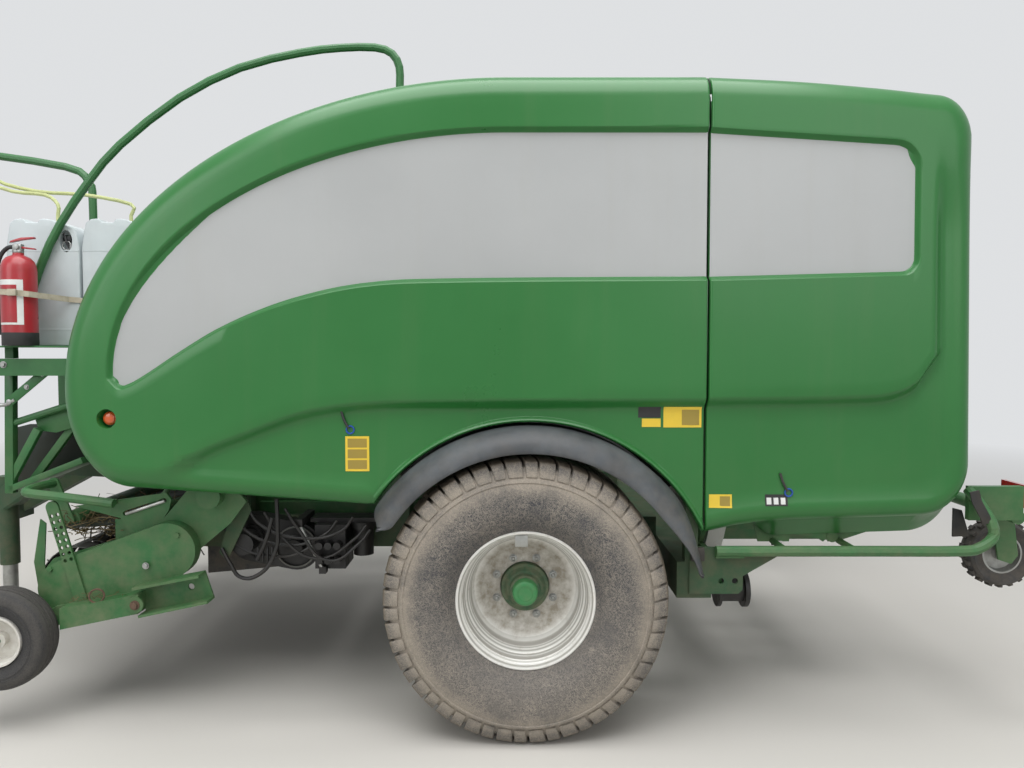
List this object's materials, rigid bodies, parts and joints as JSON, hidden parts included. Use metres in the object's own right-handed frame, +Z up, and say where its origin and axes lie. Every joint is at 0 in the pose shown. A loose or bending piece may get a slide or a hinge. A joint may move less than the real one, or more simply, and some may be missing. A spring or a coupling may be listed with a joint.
{
  "type": "round baler wrapper",
  "caption": "Towed round baler with a bale wrapper behind it, under moulded side doors, with a tined pick-up, a wrapping ring and a bale table, standing on its jack.",
  "frame": {"origin": "on the ground below the middle of the machine", "axes": "+X rearward, +Y to the machine's right, +Z up"},
  "size_m": [6.3, 2.81, 3.1212],
  "materials": {
    "green_paint": "semi-gloss green enamel, dusty",
    "frame_paint": "dark green enamel with road dirt",
    "door_paint": "gloss green on moulded plastic",
    "silver_paint": "satin silver lacquer",
    "roller_steel": "dull dark steel",
    "black_paint": "satin black",
    "guard_rubber": "weathered black rubber",
    "tyre": "dusty rubber",
    "rim_paint": "silver-grey wheel lacquer",
    "hub_paint": "gloss green",
    "amber_lens": "ribbed lens",
    "red_lens": "ribbed lens",
    "red_paint": "gloss red",
    "zinc_steel": "zinc plated",
    "ring_paint": "pale grey lacquer",
    "film": "pale stretch film",
    "canister": "translucent pale plastic",
    "hose": "yellow-green tube"
  },
  "bodies": {
    "chassis": {"chassis_frame": "frame_paint", "drawbar": "frame_paint", "axle": "frame_paint", "gearbox": "hub_paint", "mudguards": "guard_rubber", "roof_frame": "green_paint", "guard_hoops": "green_paint", "chamber_walls": "green_paint", "chamber_rollers": "roller_steel", "roller_drive": "roller_steel", "net_box": "green_paint", "intake": "black_paint", "floor_drives": "black_paint", "rams": "green_paint", "rear_drum": "black_paint", "ring_frame": "green_paint", "guide_rollers": "black_paint", "table_support": "green_paint", "rear_guard": "green_paint", "rear_lamps": "red_lens", "platform": "green_paint", "canisters": "canister", "extinguisher": "red_paint", "hose_support": "green_paint", "feed_hoses": "hose"},
    "jack": {"jack_leg": "zinc_steel"},
    "wheel_left": {"tyre_left": "tyre", "rim_left": "rim_paint", "hub_left": "hub_paint"},
    "wheel_right": {"tyre_right": "tyre", "rim_right": "rim_paint", "hub_right": "hub_paint"},
    "front_door_l": {"front_door_left": "door_paint", "front_inset_left": "silver_paint", "marker_lamps_left": "amber_lens"},
    "front_door_r": {"front_door_right": "door_paint", "front_inset_right": "silver_paint", "marker_lamps_right": "amber_lens"},
    "rear_door_l": {"rear_door_left": "door_paint", "rear_inset_left": "silver_paint"},
    "rear_door_r": {"rear_door_right": "door_paint", "rear_inset_right": "silver_paint"},
    "gate": {"gate_walls": "green_paint", "gate_rollers": "roller_steel"},
    "ring": {"wrap_ring": "ring_paint", "film_dispensers": "red_paint", "film_rolls": "film"},
    "table": {"table_frame": "green_paint", "table_rollers": "black_paint"},
    "pickup": {"pickup_frame": "green_paint", "stripper_bands": "roller_steel", "gauge_arms": "green_paint"},
    "reel": {"pickup_reel": "roller_steel"},
    "gauge_wheel_left": {"gauge_tyre_left": "tyre", "gauge_rim_left": "rim_paint"},
    "gauge_wheel_right": {"gauge_tyre_right": "tyre", "gauge_rim_right": "rim_paint"},
    "turner_wheel": {"turner_tyre": "tyre", "turner_rim": "zinc_steel"}
  },
  "joints": [
    {"name": "jack_slide", "type": "slide", "parent": "chassis", "child": "jack", "axis": [0, 0, 1], "range_m": [0, 0.36]},
    {"name": "wheel_left_spin", "type": "hinge", "parent": "chassis", "child": "wheel_left", "pos_m": [0.78, -1.125, 0.614], "axis": [0, 1, 0], "continuous": true},
    {"name": "wheel_right_spin", "type": "hinge", "parent": "chassis", "child": "wheel_right", "pos_m": [0.78, 1.125, 0.614], "axis": [0, 1, 0], "continuous": true},
    {"name": "front_door_l_hinge", "type": "hinge", "parent": "chassis", "child": "front_door_l", "pos_m": [0.3, -0.93, 2.856], "axis": [-1, 0, 0], "range_deg": [0, 75]},
    {"name": "rear_door_l_hinge", "type": "hinge", "parent": "chassis", "child": "rear_door_l", "pos_m": [0.3, -0.93, 2.856], "axis": [-1, 0, 0], "range_deg": [0, 75]},
    {"name": "front_door_r_hinge", "type": "hinge", "parent": "chassis", "child": "front_door_r", "pos_m": [0.3, 0.93, 2.856], "axis": [1, 0, 0], "range_deg": [0, 75]},
    {"name": "rear_door_r_hinge", "type": "hinge", "parent": "chassis", "child": "rear_door_r", "pos_m": [0.3, 0.93, 2.856], "axis": [1, 0, 0], "range_deg": [0, 75]},
    {"name": "gate_hinge", "type": "hinge", "parent": "chassis", "child": "gate", "pos_m": [-0.22, 0, 2.42], "axis": [0, -1, 0], "range_deg": [0, 50]},
    {"name": "ring_spin", "type": "hinge", "parent": "chassis", "child": "ring", "pos_m": [1.7, 0, 1.4], "axis": [1, 0, 0], "continuous": true},
    {"name": "table_tilt", "type": "hinge", "parent": "chassis", "child": "table", "pos_m": [2.33, 0, 0.72], "axis": [0, 1, 0], "range_deg": [0, 35]},
    {"name": "pickup_lift", "type": "hinge", "parent": "chassis", "child": "pickup", "pos_m": [-0.653, 0, 1.014], "axis": [0, -1, 0], "range_deg": [0, 12]},
    {"name": "reel_spin", "type": "hinge", "parent": "pickup", "child": "reel", "pos_m": [-1.3, 0, 0.6], "axis": [0, 1, 0], "continuous": true},
    {"name": "gauge_wheel_left_spin", "type": "hinge", "parent": "pickup", "child": "gauge_wheel_left", "pos_m": [-1.521, -1.22, 0.413], "axis": [0, 1, 0], "continuous": true},
    {"name": "gauge_wheel_right_spin", "type": "hinge", "parent": "pickup", "child": "gauge_wheel_right", "pos_m": [-1.521, 1.22, 0.413], "axis": [0, 1, 0], "continuous": true},
    {"name": "turner_wheel_spin", "type": "hinge", "parent": "chassis", "child": "turner_wheel", "pos_m": [2.99, -1, 0.738], "axis": [0, 1, 0], "continuous": true}
  ]
}
